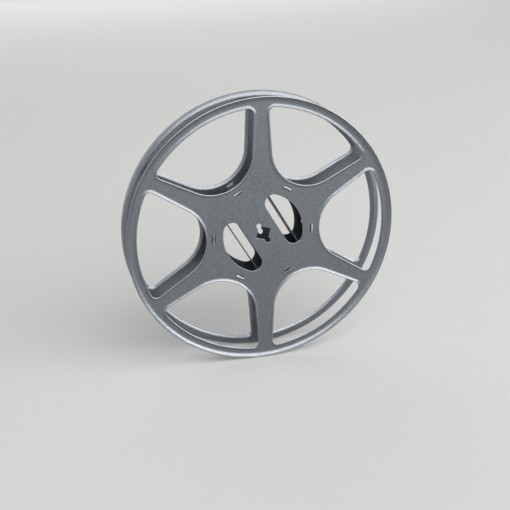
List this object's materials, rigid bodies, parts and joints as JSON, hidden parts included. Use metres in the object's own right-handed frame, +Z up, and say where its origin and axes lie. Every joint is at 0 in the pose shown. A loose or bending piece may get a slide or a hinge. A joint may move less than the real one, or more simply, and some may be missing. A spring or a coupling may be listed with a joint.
{
  "type": "cine film reel",
  "caption": "Pressed sheet-steel cine film reel with spoked flanges, turned rims and lips, a clinched split core and a keyed square spindle hole, in grey hammer-finish enamel.",
  "frame": {"origin": "the reel's middle: on the axle line, halfway between the flanges", "axes": "+Y along the axle line from the front flange to the rear one, +X to the right seen from the front, +Z up with the reel standing on its rims"},
  "size_m": [0.1778, 0.0226, 0.1778],
  "materials": {
    "flange_enamel": "satin hammer-finish enamel, silver grey",
    "core_enamel": "thin satin enamel, dark grey",
    "leaf_steel": "dull oiled spring steel"
  },
  "bodies": {
    "root": {"front_flange": "flange_enamel", "rear_flange": "flange_enamel", "core_shell_a": "core_enamel", "core_shell_b": "core_enamel", "film_leaf_a": "leaf_steel", "film_leaf_b": "leaf_steel"}
  },
  "joints": []
}
